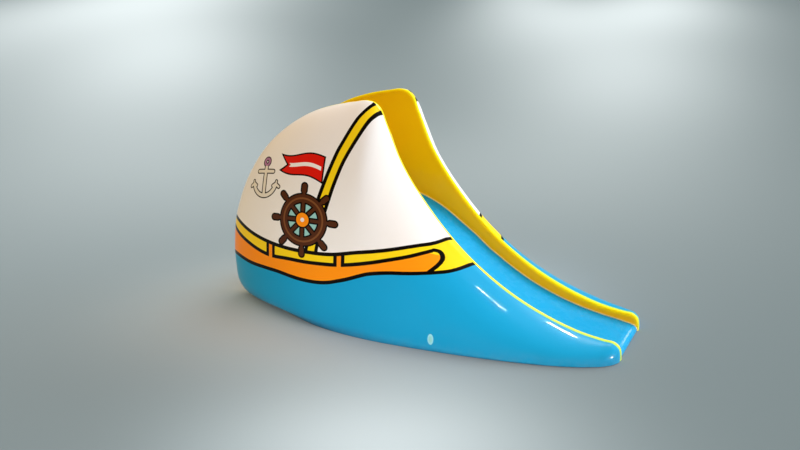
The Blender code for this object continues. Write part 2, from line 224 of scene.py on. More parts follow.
def shell_points(side, columns=SHELL_COLUMNS, rows=SHELL_ROWS):
    """Points [column][row] of a side shell's face: columns from nose to rear, rows from foot to rim."""
    steps = 24
    line = smooth_line(RIM_PROFILE, steps)
    front = line[:PEAK_KNOT * steps + 1]
    rear = line[PEAK_KNOT * steps:]
    rearmost, rear_height = RIM_PROFILE[REAR_KNOT]
    above = rear[rear[:, 1] >= rear_height]
    below = rear[rear[:, 1] <= rear_height][::-1]
    back = rearmost * (0.5 - 0.5 * np.cos(np.pi * np.linspace(0, 1, columns + 1)))
    top_front = np.interp(back, np.maximum.accumulate(front[:, 0]), front[:, 1])
    top_rear = np.interp(back, np.maximum.accumulate(above[:, 0]), above[:, 1])
    top = np.where(back < RIM_PROFILE[PEAK_KNOT][0], top_front, top_rear)
    plan = np.concatenate([bezier(curve, np.linspace(0, 1, 200)) for curve in PLAN_CURVES])
    bulge = np.interp(back, plan[:, 0], plan[:, 1])
    power = smooth_values(SHOULDER_BACKS, SHOULDER_POWERS, back)
    turn = np.linspace(0, math.pi / 2, rows + 1)
    height = top[:, None] * (np.sin(turn) ** (2 / SECTION_POWER))[None, :]
    out = bulge[:, None] * (np.cos(turn) ** 2)[None, :] ** power[:, None]
    tuck = np.where(height < rear_height, rearmost - np.interp(height, below[:, 1], below[:, 0]), 0.0)
    drawn = (np.clip((back - FOOT_START) / (rearmost - FOOT_START), 0, 1) ** 2)[:, None]
    out = out * (1 - FOOT_PINCH * drawn * tuck / (rearmost - RIM_PROFILE[-1][0]))
    place = back[:, None] - tuck * drawn
    spread = (out / FULL_SHOULDER_REACH) ** 2
    fade = np.interp(back, FULL_SHOULDER_BACKS, (0, 1, 1, 0))
    height = np.maximum(height + FULL_SHOULDER * fade[:, None] * spread * np.exp(1 - spread), FOOT_CLEAR)
    return np.stack([NOSE_X - place, side * (RIM_OUTER + JOINT_GAP + out), height], axis=2)


def swept_points(line, section, side):
    """Points [along][round] of a section carried along a side-view line."""
    normals = line_normals(line)
    rings = []
    for distance, height in section:
        moved = line + normals * height
        moved[:, 1] = np.maximum(moved[:, 1], 0.0)
        flat = np.full(len(line), side * distance)
        rings.append(np.stack([NOSE_X - moved[:, 0], flat, moved[:, 1]], axis=1))
    return np.stack(rings, axis=1)


def shaped_grid(points):
    """A bmesh grid of faces with its corners moved to the points [column][row], mapped 0 to 1 both ways."""
    columns = points.shape[0] - 1
    rows = points.shape[1] - 1
    bm = bmesh.new()
    bmesh.ops.create_grid(bm, x_segments=columns, y_segments=rows, size=0.5)
    uv = bm.loops.layers.uv.new("along and round")
    for face in bm.faces:
        for loop in face.loops:
            loop[uv].uv = (loop.vert.co.x + 0.5, loop.vert.co.y + 0.5)
    for vert in bm.verts:
        column = round((vert.co.x + 0.5) * columns)
        row = round((vert.co.y + 0.5) * rows)
        vert.co = points[column, row]
    return bm


def capped_bar(points):
    """A swept section, welded along its length and closed at both ends."""
    bm = shaped_grid(points)
    bmesh.ops.remove_doubles(bm, verts=bm.verts, dist=FINE_WELD)
    bmesh.ops.holes_fill(bm, edges=[edge for edge in bm.edges if edge.is_boundary])
    return bm


def finish_piece(bm, name, material, smooth_angle, weld=FINE_WELD):
    """Makes the named object of a mesh, riding on the slide."""
    bmesh.ops.remove_doubles(bm, verts=bm.verts, dist=weld)
    bmesh.ops.dissolve_degenerate(bm, edges=bm.edges, dist=FINE_WELD)
    bmesh.ops.recalc_face_normals(bm, faces=bm.faces)
    mesh = bpy.data.meshes.new(name)
    bm.to_mesh(mesh)
    bm.free()
    mesh.shade_smooth()
    mesh.set_sharp_from_angle(angle=math.radians(smooth_angle))
    piece = bpy.data.objects.new(name, mesh)
    bpy.context.scene.collection.objects.link(piece)
    mesh.materials.append(material)
    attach(piece, "root")
    return piece


def face_outwards(piece, direction):
    """Turns an open sheet so that its faces look along the given direction on the whole."""
    bm = bmesh.new()
    bm.from_mesh(piece.data)
    total = sum((face.normal * face.calc_area() for face in bm.faces), Vector())
    if total.dot(Vector(direction)) < 0:
        bmesh.ops.reverse_faces(bm, faces=bm.faces)
        bm.to_mesh(piece.data)
    bm.free()


def thicken(piece, thickness, inner_material=None):
    solid = piece.modifiers.new("laminate thickness", "SOLIDIFY")
    solid.thickness = thickness
    solid.offset = -1.0
    solid.use_rim = True
    if inner_material:
        piece.data.materials.append(inner_material)
        solid.material_offset = 1


# Helpers for shader nodes

def calc(tree, operation, *values, clamp=False):
    node = tree.nodes.new("ShaderNodeMath")
    node.operation = operation
    node.use_clamp = clamp
    for socket, value in zip(node.inputs, values):
        if isinstance(value, bpy.types.NodeSocket):
            tree.links.new(value, socket)
        else:
            socket.default_value = value
    return node.outputs[0]


def plus(tree, a, b):
    return calc(tree, "ADD", a, b)


def minus(tree, a, b):
    return calc(tree, "SUBTRACT", a, b)


def times(tree, a, b):
    return calc(tree, "MULTIPLY", a, b)


def axes(tree, place):
    """X, Y and Z of a place."""
    split = tree.nodes.new("ShaderNodeSeparateXYZ")
    tree.links.new(place, split.inputs[0])
    return split.outputs


def give(tree, socket, value):
    """Links a socket, or sets it to a plain value."""
    if isinstance(value, bpy.types.NodeSocket):
        tree.links.new(value, socket)
    elif socket.type == "RGBA":
        socket.default_value = (*value[:3], 1.0)
    else:
        socket.default_value = value


def blend_colour(tree, share, under, over):
    node = tree.nodes.new("ShaderNodeMix")
    node.data_type = "RGBA"
    give(tree, node.inputs["Factor"], share)
    give(tree, node.inputs["A"], under)
    give(tree, node.inputs["B"], over)
    return node.outputs["Result"]


def ramp_between(tree, value, low, high, out_low=0.0, out_high=1.0):
    node = tree.nodes.new("ShaderNodeMapRange")
    give(tree, node.inputs["Value"], value)
    node.inputs["From Min"].default_value = low
    node.inputs["From Max"].default_value = high
    node.inputs["To Min"].default_value = out_low
    node.inputs["To Max"].default_value = out_high
    return node.outputs["Result"]


def noise(tree, place, scale, detail=3.0, roughness=0.5):
    node = tree.nodes.new("ShaderNodeTexNoise")
    tree.links.new(place, node.inputs["Vector"])
    node.inputs["Scale"].default_value = scale
    node.inputs["Detail"].default_value = detail
    node.inputs["Roughness"].default_value = roughness
    return node.outputs["Fac"]


def stretched(tree, place, scale):
    node = tree.nodes.new("ShaderNodeMapping")
    tree.links.new(place, node.inputs["Vector"])
    node.inputs["Scale"].default_value = scale
    return node.outputs["Vector"]


def inside(tree, distance, edge=0.0006):
    """1 where a distance is below zero, 0 above it."""
    return ramp_between(tree, distance, edge, -edge)


def new_group(name, inputs, outputs):
    """A shader node group with named sockets."""
    tree = bpy.data.node_groups.new(name, "ShaderNodeTree")
    for label, kind, value in inputs:
        socket = tree.interface.new_socket(label, in_out="INPUT", socket_type=kind)
        if value is not None:
            socket.default_value = value
    for label, kind in outputs:
        tree.interface.new_socket(label, in_out="OUTPUT", socket_type=kind)
    return tree, tree.nodes.new("NodeGroupInput").outputs, tree.nodes.new("NodeGroupOutput").inputs


def use_group(tree, group, **values):
    node = tree.nodes.new("ShaderNodeGroup")
    node.node_tree = group
    for label, value in values.items():
        give(tree, node.inputs[label.replace("_", " ")], value)
    return node.outputs


def curve_node(tree, given, points, reach):
    """Reads a smooth curve through 0 to 1 points at a given place."""
    node = tree.nodes.new("ShaderNodeFloatCurve")
    node.mapping.extend = "HORIZONTAL"
    curve = node.mapping.curves[0]
    curve.points[0].location = points[0]
    curve.points[1].location = points[-1]
    for point in points[1:-1]:
        curve.points.new(*point)
    node.mapping.update()
    give(tree, node.inputs["Value"], calc(tree, "DIVIDE", given, reach))
    return node.outputs["Value"]


def distance_to_line(tree, along, across, knots, along_reach, across_reach):
    """Signed distance from a painted line, given as (along, across) knots."""
    knots = np.asarray(sorted(knots))
    at = np.linspace(knots[0, 0], knots[-1, 0], CURVE_POINTS)
    value = smooth_values(knots[:, 0], knots[:, 1], at)
    lean = 1 / np.hypot(1.0, np.gradient(value, at))
    level = curve_node(tree, along, list(zip(at / along_reach, value / across_reach)), along_reach)
    slant = curve_node(tree, along, list(zip(at / along_reach, lean)), along_reach)
    apart = minus(tree, across, times(tree, level, across_reach))
    return times(tree, apart, slant)


def line_mask(tree, distance, half_width):
    return inside(tree, minus(tree, calc(tree, "ABSOLUTE", distance), half_width))


def either(tree, *masks):
    result = masks[0]
    for mask in masks[1:]:
        result = calc(tree, "MAXIMUM", result, mask)
    return result


def nearest(tree, *distances):
    result = distances[0]
    for distance in distances[1:]:
        result = calc(tree, "MINIMUM", result, distance)
    return result


def both(tree, *masks):
    result = masks[0]
    for mask in masks[1:]:
        result = times(tree, result, mask)
    return result


def bar(tree, across, up, start, end, radius):
    """Signed distance from a straight bar with round ends."""
    run = Vector(end) - Vector(start)
    length = run.length
    run.normalize()
    from_x = minus(tree, across, start[0])
    from_y = minus(tree, up, start[1])
    along = plus(tree, times(tree, from_x, run.x), times(tree, from_y, run.y))
    aside = minus(tree, times(tree, from_x, run.y), times(tree, from_y, run.x))
    held = calc(tree, "MINIMUM", calc(tree, "MAXIMUM", along, 0.0), length)
    beyond = minus(tree, along, held)
    return minus(tree, far_from(tree, beyond, aside), radius)


def far_from(tree, x, y):
    return calc(tree, "SQRT", plus(tree, times(tree, x, x), times(tree, y, y)))


def ring(tree, across, up, centre, radius, half_width):
    """Signed distance from a round ring."""
    x = minus(tree, across, centre[0])
    y = minus(tree, up, centre[1])
    return minus(tree, calc(tree, "ABSOLUTE", minus(tree, far_from(tree, x, y), radius)), half_width)


def emblem_group(name):
    """A group for something painted on a side: its colour and where it covers, at (back, up)."""
    return new_group(
        name, (("Back", "NodeSocketFloat", 0.0), ("Up", "NodeSocketFloat", 0.0)),
        (("Colour", "NodeSocketColor"), ("Mask", "NodeSocketFloat")))


def wheel_group():
    """A generic ship's wheel: ring, spokes with handles and hub."""
    tree, given, made = emblem_group("painted ship's wheel")
    ring_radius = 0.142
    ring_half = 0.026
    inlay_half = 0.006
    spoke_half = 0.0105
    handle_half = 0.0165
    hub_radius = 0.046
    button_radius = 0.014
    outline = 0.010
    x = calc(tree, "DIVIDE", minus(tree, given["Back"], WHEEL_PLACE[0]), WHEEL_SCALE)
    y = calc(tree, "DIVIDE", minus(tree, given["Up"], WHEEL_PLACE[1]), WHEEL_SCALE)
    radius = far_from(tree, x, y)
    eighth = math.pi / 4
    turn = calc(tree, "DIVIDE", calc(tree, "ARCTAN2", y, x), eighth)
    fold = times(tree, minus(tree, turn, calc(tree, "ROUND", turn)), eighth)
    along = times(tree, radius, calc(tree, "COSINE", fold))
    aside = times(tree, radius, calc(tree, "SINE", fold))
    from_ring = minus(tree, radius, ring_radius)
    felloe = minus(tree, calc(tree, "ABSOLUTE", from_ring), ring_half)
    spoke = bar(tree, along, aside, (0.03, 0.0), (0.19, 0.0), spoke_half)
    handle = bar(tree, along, aside, (0.195, 0.0), (0.225, 0.0), handle_half)
    wood = nearest(tree, felloe, spoke, handle)
    hub = minus(tree, radius, hub_radius)
    disc = inside(tree, from_ring)
    dark = inside(tree, minus(tree, nearest(tree, wood, hub), outline))
    colour = blend_colour(tree, disc, BLACK, TEAL)
    colour = blend_colour(tree, dark, colour, BLACK)
    colour = blend_colour(tree, inside(tree, wood), colour, WOOD)
    colour = blend_colour(tree, line_mask(tree, from_ring, inlay_half), colour, WOOD_INLAY)
    colour = blend_colour(tree, inside(tree, minus(tree, hub, outline)), colour, BLACK)
    colour = blend_colour(tree, inside(tree, hub), colour, ORANGE)
    colour = blend_colour(tree, inside(tree, minus(tree, radius, button_radius)), colour, WHITE)
    tree.links.new(colour, made["Colour"])
    tree.links.new(either(tree, dark, disc), made["Mask"])
    return tree


def pennant_group():
    """A generic red pennant with two points, flown from the mast."""
    tree, given, made = emblem_group("painted pennant")
    length = 0.330
    half_at_mast = 0.088
    taper = 0.10
    climb = 0.10
    ripple = 0.016
    ripples = 17.0               # radians a metre
    notch_depth = 0.95
    notch_slant = 0.72
    stripe_half = 0.014
    stripe_margin = 0.012
    outline = 0.0115
    out = minus(tree, given["Back"], PENNANT_PLACE[0])
    wave = times(tree, calc(tree, "SINE", times(tree, out, ripples)), ripple)
    rise = minus(tree, minus(tree, given["Up"], PENNANT_PLACE[1]), wave)
    rise = minus(tree, rise, times(tree, out, climb))
    height = minus(tree, half_at_mast, times(tree, out, taper))
    off_middle = calc(tree, "ABSOLUTE", rise)
    over = minus(tree, off_middle, height)
    notch = times(tree, minus(tree, height, off_middle), notch_depth)
    beyond = times(tree, plus(tree, minus(tree, out, length), notch), notch_slant)
    before = times(tree, out, -1.0)
    edge = calc(tree, "MAXIMUM", calc(tree, "MAXIMUM", over, beyond), before)
    stripe = both(tree, line_mask(tree, rise, stripe_half), inside(tree, plus(tree, edge, stripe_margin)))
    colour = blend_colour(tree, inside(tree, edge), BLACK, FLAG_RED)
    colour = blend_colour(tree, stripe, colour, WHITE)
    tree.links.new(colour, made["Colour"])
    tree.links.new(inside(tree, minus(tree, edge, outline)), made["Mask"])
    return tree


def anchor_group():
    """A generic anchor in outline with a mauve ring."""
    tree, given, made = emblem_group("painted anchor")
    outline = 0.0085
    x = minus(tree, given["Back"], ANCHOR_PLACE[0])
    y = minus(tree, given["Up"], ANCHOR_PLACE[1])
    across = calc(tree, "ABSOLUTE", x)
    shank = bar(tree, x, y, (0.0, -0.12), (0.0, 0.10), 0.013)
    stock = bar(tree, across, y, (0.0, 0.062), (0.075, 0.062), 0.011)
    arms = calc(tree, "MAXIMUM", ring(tree, x, y, (0.0, -0.005), 0.115, 0.013), plus(tree, y, 0.035))
    fluke = bar(tree, across, y, (0.113, -0.040), (0.118, -0.010), 0.006)
    barb = bar(tree, across, y, (0.113, -0.030), (0.088, -0.045), 0.009)
    tip = bar(tree, across, y, (0.113, -0.030), (0.142, -0.050), 0.009)
    body = nearest(tree, shank, stock, arms, fluke, barb, tip)
    shackle = ring(tree, x, y, (0.0, 0.135), 0.024, 0.009)
    colour = blend_colour(tree, inside(tree, body), BLACK, CREAM)
    colour = blend_colour(tree, inside(tree, shackle), colour, MAUVE)
    tree.links.new(colour, made["Colour"])
    tree.links.new(inside(tree, minus(tree, nearest(tree, body, shackle), outline)), made["Mask"])
    return tree


def livery_group():
    """The painted bands of a side shell: sail, mast, rail, hull and sea, with the emblems on them."""
    tree, given, made = new_group(
        "painted side", (("Place", "NodeSocketVector", None),), (("Colour", "NodeSocketColor"),))
    x, y, z = axes(tree, given["Place"])
    back = minus(tree, NOSE_X, x)
    up = plus(tree, minus(tree, z, times(tree, calc(tree, "ABSOLUTE", y), SIDE_SLANT)), SIDE_LIFT)

    def level(knots):
        return distance_to_line(tree, back, up, knots, LENGTH_REACH, HEIGHT_REACH)

    def upright(knots):
        turned = [(high, place) for place, high in knots]
        return distance_to_line(tree, up, back, turned, HEIGHT_REACH, LENGTH_REACH)

    sail = level(SAIL_LINE)
    rail = level(RAIL_LINE)
    hull = level(HULL_LINE)
    mast_back = upright(MAST_BACK_LINE)
    mast_front = upright(MAST_FRONT_LINE)
    end = upright(HULL_END)
    behind_end = inside(tree, minus(tree, -HULL_LOOP_OPEN, end))
    loop = smooth_line(HULL_END, 2)
    end_line = nearest(tree, *[bar(tree, back, up, a, b, HULL_END_HALF) for a, b in zip(loop, loop[1:])])
    above_sail = inside(tree, times(tree, sail, -1.0))
    above_hull = inside(tree, times(tree, hull, -1.0))
    below_rail = inside(tree, rail)

    off_post = nearest(tree, *[calc(tree, "ABSOLUTE", minus(tree, back, place)) for place in POST_BACKS])
    post = inside(tree, minus(tree, off_post, POST_HALF))
    post_edge = inside(tree, minus(tree, off_post, POST_HALF + 2 * LINE_HALF))
    no_post = minus(tree, 1.0, post)

    on_mast = both(tree, inside(tree, mast_back), inside(tree, times(tree, mast_front, -1.0)))
    colour = blend_colour(tree, on_mast, WHITE, MAST_YELLOW)
    mast_lines = either(tree, line_mask(tree, mast_back, MAST_LINE_HALF),
                        line_mask(tree, mast_front, MAST_LINE_HALF))
    colour = blend_colour(tree, mast_lines, colour, BLACK)
    for group in (pennant_group(), anchor_group()):
        emblem = use_group(tree, group, Back=back, Up=up)
        colour = blend_colour(tree, emblem["Mask"], colour, emblem["Colour"])

    panels = blend_colour(tree, both(tree, below_rail, behind_end), MAST_YELLOW, ORANGE)
    panels = blend_colour(tree, both(tree, post_edge, minus(tree, 1.0, below_rail)), panels, BLACK)
    panels = blend_colour(tree, post, panels, ORANGE)
    rail_line = both(tree, line_mask(tree, rail, LINE_HALF), no_post,
                     inside(tree, minus(tree, RAIL_END_BACK, back)))
    panels = blend_colour(tree, either(tree, rail_line, inside(tree, end_line)), panels, BLACK)
    colour = blend_colour(tree, above_sail, panels, colour)
    colour = blend_colour(tree, line_mask(tree, sail, LINE_HALF), colour, BLACK)
    colour = blend_colour(tree, above_hull, SEA_BLUE, colour)
    colour = blend_colour(tree, line_mask(tree, hull, LINE_HALF), colour, BLACK)
    # A pale oval low on the side, lighter towards its edge
    pale_x = calc(tree, "DIVIDE", minus(tree, back, PALE_OVAL_PLACE[0]), PALE_OVAL_HALF[0])
    pale_y = calc(tree, "DIVIDE", minus(tree, up, PALE_OVAL_PLACE[1]), PALE_OVAL_HALF[1])
    pale_oval = far_from(tree, pale_x, pale_y)
    pale_oval_colour = blend_colour(tree, ramp_between(tree, pale_oval, 0.45, 0.85), PALE_OVAL_MIDDLE, PALE_OVAL_EDGE)
    colour = blend_colour(tree, ramp_between(tree, pale_oval, 1.04, 0.98), colour, pale_oval_colour)
    wheel = use_group(tree, wheel_group(), Back=back, Up=up)
    colour = blend_colour(tree, wheel["Mask"], colour, wheel["Colour"])
    tree.links.new(colour, made["Colour"])
    return tree


def gelcoat_group():
    """Moulded gelcoat: slight shade changes, soft waves of the laminate, fine peel, dust near the floor."""
    tree, given, made = new_group(
        "moulded gelcoat",
        (("Place", "NodeSocketVector", None), ("Colour", "NodeSocketColor", (1, 1, 1, 1)),
         ("Gloss", "NodeSocketFloat", 0.12), ("Waves", "NodeSocketFloat", 1.0),
         ("Dust", "NodeSocketFloat", 0.3)),
        (("Colour", "NodeSocketColor"), ("Roughness", "NodeSocketFloat"), ("Normal", "NodeSocketVector")))
    place = given["Place"]
    cloud = noise(tree, place, 2.2, 4.0)
    speck = noise(tree, place, 420.0, 2.0)
    low = ramp_between(tree, axes(tree, place)["Z"], 0.10, 0.0)
    film = noise(tree, place, 14.0, 6.0, 0.65)
    patch = ramp_between(tree, film, 0.42, 0.75)
    dust = both(tree, times(tree, low, low), ramp_between(tree, film, 0.3, 0.8), given["Dust"])
    shade = ramp_between(tree, cloud, 0.3, 0.7, 0.98, 1.012)
    scale = tree.nodes.new("ShaderNodeVectorMath")
    scale.operation = "SCALE"
    tree.links.new(given["Colour"], scale.inputs[0])
    tree.links.new(shade, scale.inputs["Scale"])
    colour = blend_colour(tree, dust, scale.outputs[0], DUST)
    tree.links.new(colour, made["Colour"])
    rough = plus(tree, given["Gloss"], ramp_between(tree, patch, 0.0, 1.0, 0.0, 0.05))
    rough = calc(tree, "ADD", rough, times(tree, dust, 0.5), clamp=True)
    tree.links.new(rough, made["Roughness"])
    waves = times(tree, noise(tree, place, 5.0, 1.0), given["Waves"])
    broad = tree.nodes.new("ShaderNodeBump")
    broad.inputs["Strength"].default_value = 0.12
    broad.inputs["Distance"].default_value = 0.004
    tree.links.new(waves, broad.inputs["Height"])
    peel = tree.nodes.new("ShaderNodeBump")
    peel.inputs["Strength"].default_value = 0.05
    peel.inputs["Distance"].default_value = 0.0004
    tree.links.new(speck, peel.inputs["Height"])
    tree.links.new(broad.outputs["Normal"], peel.inputs["Normal"])
    tree.links.new(peel.outputs["Normal"], made["Normal"])
    return tree


def gold_wall_painted_light_group():
    """Golden yellow of the chute's walls, painted lighter and redder low down as painted light."""
    tree, given, made = new_group(
        "wall gold with painted light low down", (("Place", "NodeSocketVector", None),), (("Colour", "NodeSocketColor"),))
    # Painted light: the gold is lighter and redder towards the bottom
    low = ramp_between(tree, axes(tree, given["Place"])["Z"], *WALL_PAINTED_LIGHT_HEIGHTS)
    tree.links.new(blend_colour(tree, low, WALL_GOLD, LOW_GOLD_PAINTED_LIGHT), made["Colour"])
    return tree


def rim_colour_group(livery, wall_gold_and_painted_light):
    """Side paint on the outer lap, then lime and lemon yellow, and gold where the rim runs into the wall,
    with the walls' painted light low down.
    """
    tree, given, made = new_group(
        "rim colours", (("Place", "NodeSocketVector", None), ("Round", "NodeSocketFloat", 0.0)),
        (("Colour", "NodeSocketColor"),))
    x = axes(tree, given["Place"])["X"]
    step = times(tree, given["Round"], RIM_STEPS)
    gold_full = ramp_between(tree, x, NOSE_X - 0.35, NOSE_X - 1.00, *RIM_GOLD_FULL)
    golden = calc(tree, "DIVIDE", minus(tree, step, RIM_GOLD_START), minus(tree, gold_full, RIM_GOLD_START),
                  clamp=True)
    gold = use_group(tree, wall_gold_and_painted_light, Place=given["Place"])["Colour"]
    thin = both(tree, ramp_between(tree, step, *RIM_LIME_FADE),
                ramp_between(tree, x, NOSE_X - 1.00, NOSE_X - 0.80))
    colour = blend_colour(tree, golden, blend_colour(tree, thin, RIM_YELLOW, RIM_LIME), gold)
    paint_edge = ramp_between(tree, x, NOSE_X - 0.75, NOSE_X - 1.15, *RIM_PAINT_EDGE)
    painted = inside(tree, minus(tree, step, paint_edge), 0.004 * RIM_STEPS)
    side_paint = use_group(tree, livery, Place=given["Place"])["Colour"]
    tree.links.new(blend_colour(tree, painted, colour, side_paint), made["Colour"])
    return tree


def object_place(tree):
    return tree.nodes.new("ShaderNodeTexCoord").outputs["Object"]


def new_material(name, tint):
    material = bpy.data.materials.new(name)
    material.use_nodes = True
    material.diffuse_color = (*tint, 1.0)
    tree = material.node_tree
    return material, tree, tree.nodes["Principled BSDF"].inputs


def map_round(tree):
    """How far round its section a point of a swept piece lies, 0 to 1."""
    node = tree.nodes.new("ShaderNodeUVMap")
    node.uv_map = "along and round"
    return axes(tree, node.outputs["UV"])["Y"]


def gelcoat(name, group, colour, gloss=0.30, waves=1.0, dust=0.12, coat=0.2):
    """A gelcoat of one colour, or of the colours of a painting group."""
    painting = not isinstance(colour, tuple)
    material, tree, shader = new_material(name, WHITE if painting else colour)
    place = object_place(tree)
    base = colour
    if painting:
        sockets = {"Place": place}
        if "Round" in colour.interface.items_tree:
            sockets["Round"] = map_round(tree)
        base = use_group(tree, colour, **sockets)["Colour"]
    surface = use_group(tree, group, Place=place, Colour=base, Gloss=gloss, Waves=waves, Dust=dust)
    tree.links.new(surface["Colour"], shader["Base Color"])
    tree.links.new(surface["Roughness"], shader["Roughness"])
    tree.links.new(surface["Normal"], shader["Normal"])
    shader["Coat Weight"].default_value = coat
    shader["Coat Roughness"].default_value = 0.012
    shader["IOR"].default_value = 1.45
    shader["Specular IOR Level"].default_value = 0.04
    return material


def laminate_material():
    """Bare chopped-strand laminate with glass fibres showing in the resin."""
    material, tree, shader = new_material("raw laminate", (0.62, 0.60, 0.50))
    place = object_place(tree)
    strands = noise(tree, stretched(tree, place, (60.0, 260.0, 180.0)), 1.0, 3.0, 0.7)
    crossed = noise(tree, stretched(tree, place, (240.0, 50.0, 90.0)), 1.0, 3.0, 0.7)
    mat = calc(tree, "MAXIMUM", strands, crossed)
    cloud = noise(tree, place, 7.0, 3.0)
    resin = blend_colour(tree, ramp_between(tree, cloud, 0.35, 0.65), (0.46, 0.43, 0.30), (0.60, 0.57, 0.44))
    colour = blend_colour(tree, ramp_between(tree, mat, 0.52, 0.72), resin, (0.74, 0.73, 0.66))
    tree.links.new(colour, shader["Base Color"])
    tree.links.new(ramp_between(tree, mat, 0.4, 0.7, 0.42, 0.68), shader["Roughness"])
    bump = tree.nodes.new("ShaderNodeBump")
    bump.inputs["Strength"].default_value = 0.5
    bump.inputs["Distance"].default_value = 0.0012
    tree.links.new(mat, bump.inputs["Height"])
    tree.links.new(bump.outputs["Normal"], shader["Normal"])
    return material


def sealant_material():
    material, tree, shader = new_material("seam sealant", (0.80, 0.70, 0.36))
    place = object_place(tree)
    fine = noise(tree, place, 90.0, 3.0)
    colour = blend_colour(tree, ramp_between(tree, fine, 0.35, 0.7), (0.82, 0.72, 0.36), (0.68, 0.58, 0.26))
    tree.links.new(colour, shader["Base Color"])
    tree.links.new(ramp_between(tree, fine, 0.3, 0.7, 0.35, 0.5), shader["Roughness"])
    return material


FLOOR_TONE = (0.143, 0.190, 0.215)
FLOOR_PAINTED_GLOW = (0.615, 0.729, 0.817)
# Pools of light painted on the floor, one of them under the part to paint out its contact shadow: centre,
# turn in degrees, half length and half width, strength
FLOOR_PAINTED_LIGHT_POOLS = (
    ((-9.2, 8.8), 125.0, (9.0, 2.25), 0.53),
    ((-0.75, 10.0), 99.0, (6.5, 1.85), 0.37),
    ((0.55, -1.85), 27.0, (0.90, 0.82), 0.53),
    ((-2.4, 3.0), 105.0, (2.75, 3.75), 0.13),
    ((-0.55, -0.2), -56.0, (0.85, 1.15), 1.00),
    ((-19.9, 20.9), 118.5, (16.2, 4.8), 0.90),
    ((-8.0, 26.5), 108.5, (13.9, 2.0), 0.54),
    ((-3.5, 25.2), 98.3, (12.4, 2.8), 0.82))
FLOOR_HALF = 120.0


def floor_material():
    """Plain pale floor with painted pools of light, a little brighter in front of the part, under it and far
    behind it.
    """
    material, tree, shader = new_material("studio floor with painted pools of light", (0.5, 0.52, 0.52))
    place = object_place(tree)
    light = 0.0
    # Each pool adds painted light that fades away from its centre
    for centre, turn, reach, strength in FLOOR_PAINTED_LIGHT_POOLS:
        pool = tree.nodes.new("ShaderNodeMapping")
        pool.vector_type = "TEXTURE"
        tree.links.new(place, pool.inputs["Vector"])
        pool.inputs["Location"].default_value = (*centre, 0.0)
        pool.inputs["Rotation"].default_value = (0.0, 0.0, math.radians(turn))
        pool.inputs["Scale"].default_value = (*reach, 1.0)
        away = tree.nodes.new("ShaderNodeVectorMath")
        away.operation = "DOT_PRODUCT"
        tree.links.new(pool.outputs["Vector"], away.inputs[0])
        tree.links.new(pool.outputs["Vector"], away.inputs[1])
        fade = calc(tree, "EXPONENT", times(tree, away.outputs["Value"], -1.0))
        light = plus(tree, light, times(tree, fade, strength))
    colour = blend_colour(tree, light, FLOOR_TONE, FLOOR_PAINTED_GLOW)
    tree.links.new(colour, shader["Base Color"])
    shader["Roughness"].default_value = 0.9
    shader["Specular IOR Level"].default_value = 0.0
    return material


def make_side_shell(label, side, painted, laminate):
    points = shell_points(side)
    piece = finish_piece(shaped_grid(points), f"{label}_shell_skin", painted, 60.0, 0.00005)
    face_outwards(piece, (0, side, 0.3))
    thicken(piece, SKIN, laminate)
    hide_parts(f"{label}_side_shell")


def rim_section():
    """(distance from the centre plane, height above the side profile) round the rolled rim."""
    width = RIM_OUTER - CHANNEL_HALF
    points = [(RIM_OUTER, -RIM_DEPTH), (RIM_OUTER, -0.012), (RIM_OUTER, -0.004)]
    lap = RIM_OUTER + ROLL_REACH
    points += [(lap - 0.0008, -0.0030), (lap, -0.0018), (lap - 0.0004, -0.0006)]
    edge = lap - 0.0014
    crown_at = CHANNEL_HALF + RIM_TURN
    for share in np.linspace(0, 1, 7):
        rise = RIM_CROWN * (0.1 + 0.9 * math.sin(share * math.pi / 2))
        points.append((edge + (crown_at - edge) * share, rise))
    for turn in np.radians(np.linspace(0, 90, 13)[1:]):
        points.append((CHANNEL_HALF + RIM_TURN * (1 - math.sin(turn)),
                       RIM_CROWN - RIM_TURN_DROP * RIM_TURN * (1 - math.cos(turn))))
    points.append((CHANNEL_HALF, -RIM_DEPTH))
    points.append((CHANNEL_HALF + 0.5 * width, -RIM_DEPTH))
    points.append(points[0])
    return points


def make_rim(label, side, material):
    line = smooth_line(RIM_PROFILE, 14)
    bm = capped_bar(swept_points(line, rim_section(), side))
    piece = finish_piece(bm, f"{label}_rolled_rim", material, 50.0)
    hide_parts(f"{label}_rim")


def bed_points():
    """Top face of the chute and its lip, curled up slightly along both walls."""
    half = CHANNEL_HALF - JOINT_GAP
    line = np.concatenate([smooth_line(CHUTE_PROFILE, 12), smooth_line(LIP_PROFILE, 8)[1:]])
    normals = line_normals(line)
    across = half * np.sin(np.linspace(-math.pi / 2, math.pi / 2, 41))
    curl = BED_CURL * (np.abs(across) / half) ** 10
    fade = np.clip((line[:, 0] - 0.01) / 0.12, 0, 1) * np.clip((CREST_BACK - line[:, 0]) / 0.12, 0, 1)
    lift = -curl[None, :] * fade[:, None]
    back = line[:, 0][:, None] + normals[:, 0][:, None] * lift
    height = line[:, 1][:, None] + normals[:, 1][:, None] * lift
    flat = np.broadcast_to(across, back.shape)
    return np.stack([NOSE_X - back, flat, height], axis=2)


def make_bed(material):
    bm = shaped_grid(bed_points())
    piece = finish_piece(bm, "chute_bed_skin", material, 60.0, 0.00002)
    face_outwards(piece, (0.3, 0, 1))
    thicken(piece, SHEET)
    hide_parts("chute_bed", "exit_lip")


